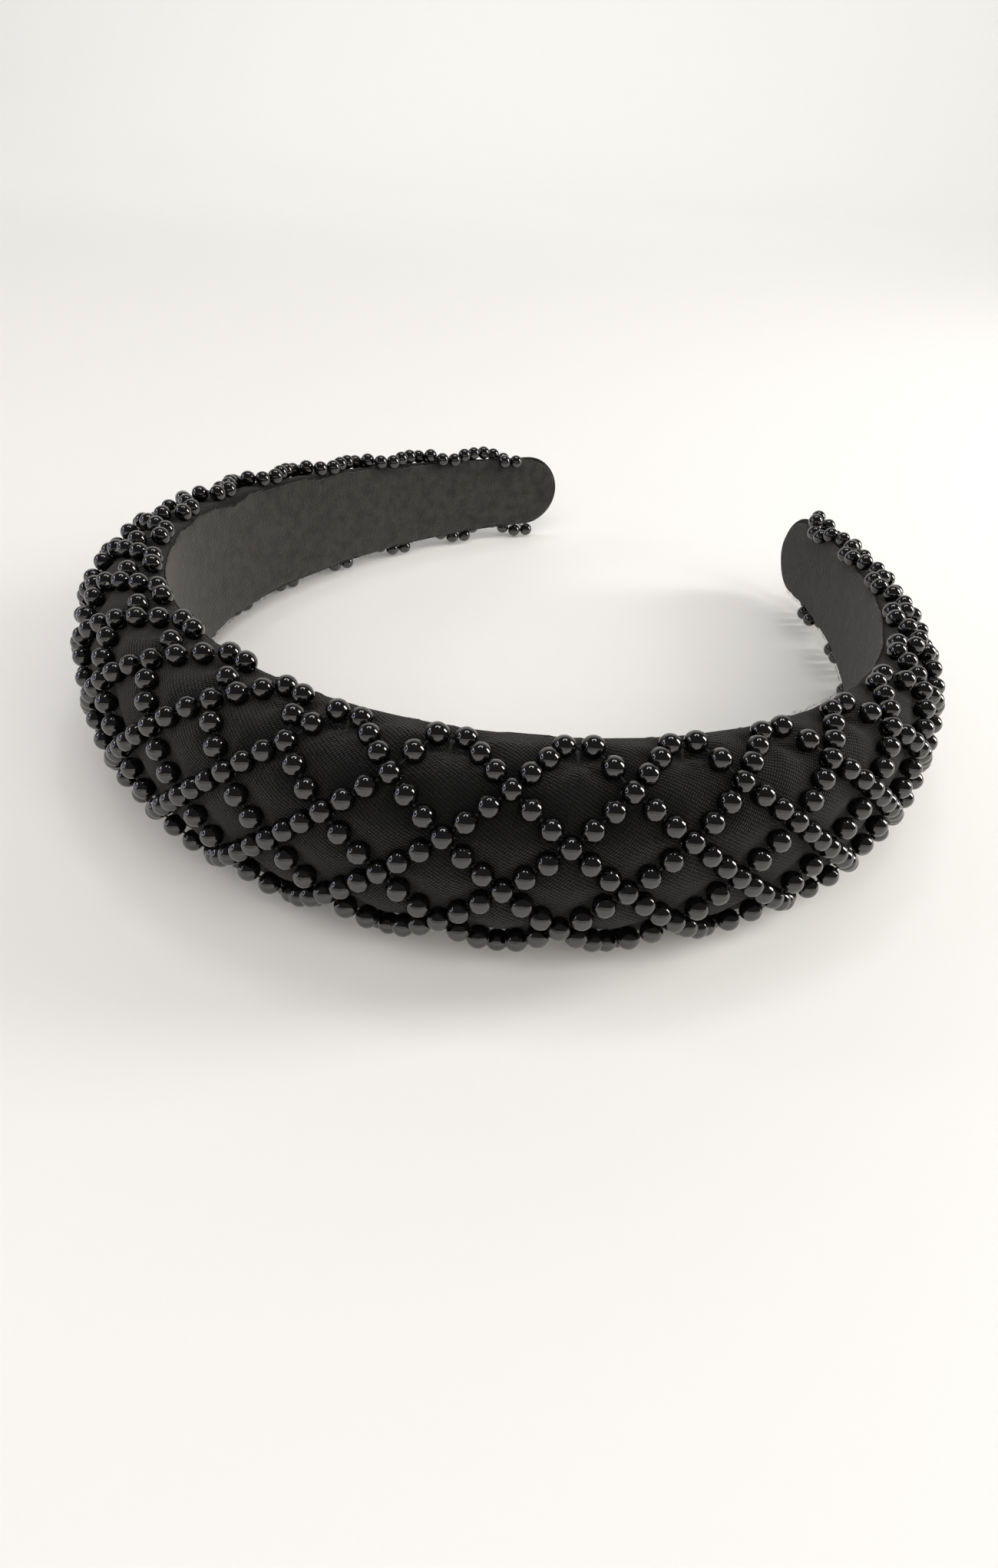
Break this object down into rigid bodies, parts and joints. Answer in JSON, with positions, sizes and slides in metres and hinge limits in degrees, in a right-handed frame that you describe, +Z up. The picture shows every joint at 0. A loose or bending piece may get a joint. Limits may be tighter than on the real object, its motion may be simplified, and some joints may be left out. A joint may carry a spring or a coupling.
{
  "type": "padded headband",
  "caption": "Padded cloth-covered headband that narrows to two rounded tips, with a net of round black beads sewn over the outside in diamonds.",
  "frame": {"origin": "on the surface that the band lies on, under the middle of its bounding box", "axes": "+Z up from the surface, across the band's width; +Y from the crown towards the tips; +X to the wearer's side that is the right one when looking along +Y"},
  "size_m": [0.1578, 0.1652, 0.0354],
  "materials": {
    "spring_plastic": "moulded, hidden",
    "padding_foam": "open-cell foam, hidden",
    "crepe_cloth": "matte woven",
    "felt_lining": "brushed felt",
    "black_bead": "high gloss",
    "net_thread": "waxed thread",
    "stitch_thread": "sewing thread"
  },
  "bodies": {
    "left_side": {"core_left": "spring_plastic", "cover_left": "crepe_cloth", "foam_left": "padding_foam", "junction_beads_left": "black_bead", "lining_left": "felt_lining", "lower_rim_beads_left": "black_bead", "middle_beads": "black_bead", "net_thread_left": "net_thread", "net_thread_middle": "net_thread", "strand_1_beads_left": "black_bead", "strand_2_beads_left": "black_bead", "strand_3_beads_left": "black_bead", "strand_4_beads_left": "black_bead", "strand_5_beads_left": "black_bead", "strand_6_beads_left": "black_bead", "tack_stitches_left": "stitch_thread", "upper_rim_beads_left": "black_bead"},
    "right_side": {"core_right": "spring_plastic", "cover_right": "crepe_cloth", "foam_right": "padding_foam", "junction_beads_right": "black_bead", "lining_right": "felt_lining", "lower_rim_beads_right": "black_bead", "net_thread_right": "net_thread", "strand_1_beads_right": "black_bead", "strand_2_beads_right": "black_bead", "strand_3_beads_right": "black_bead", "strand_4_beads_right": "black_bead", "strand_5_beads_right": "black_bead", "strand_6_beads_right": "black_bead", "tack_stitches_right": "stitch_thread", "upper_rim_beads_right": "black_bead"}
  },
  "joints": [
    {"name": "spread", "type": "hinge", "parent": "left_side", "child": "right_side", "pos_m": [-0.00005, -0.0665, 0.01796], "axis": [0, -0.0362, -0.9993], "range_deg": [-4, 15], "stiffness_Nm_per_rad": 0.8, "deforming": ["middle_beads", "net_thread_middle"]}
  ]
}
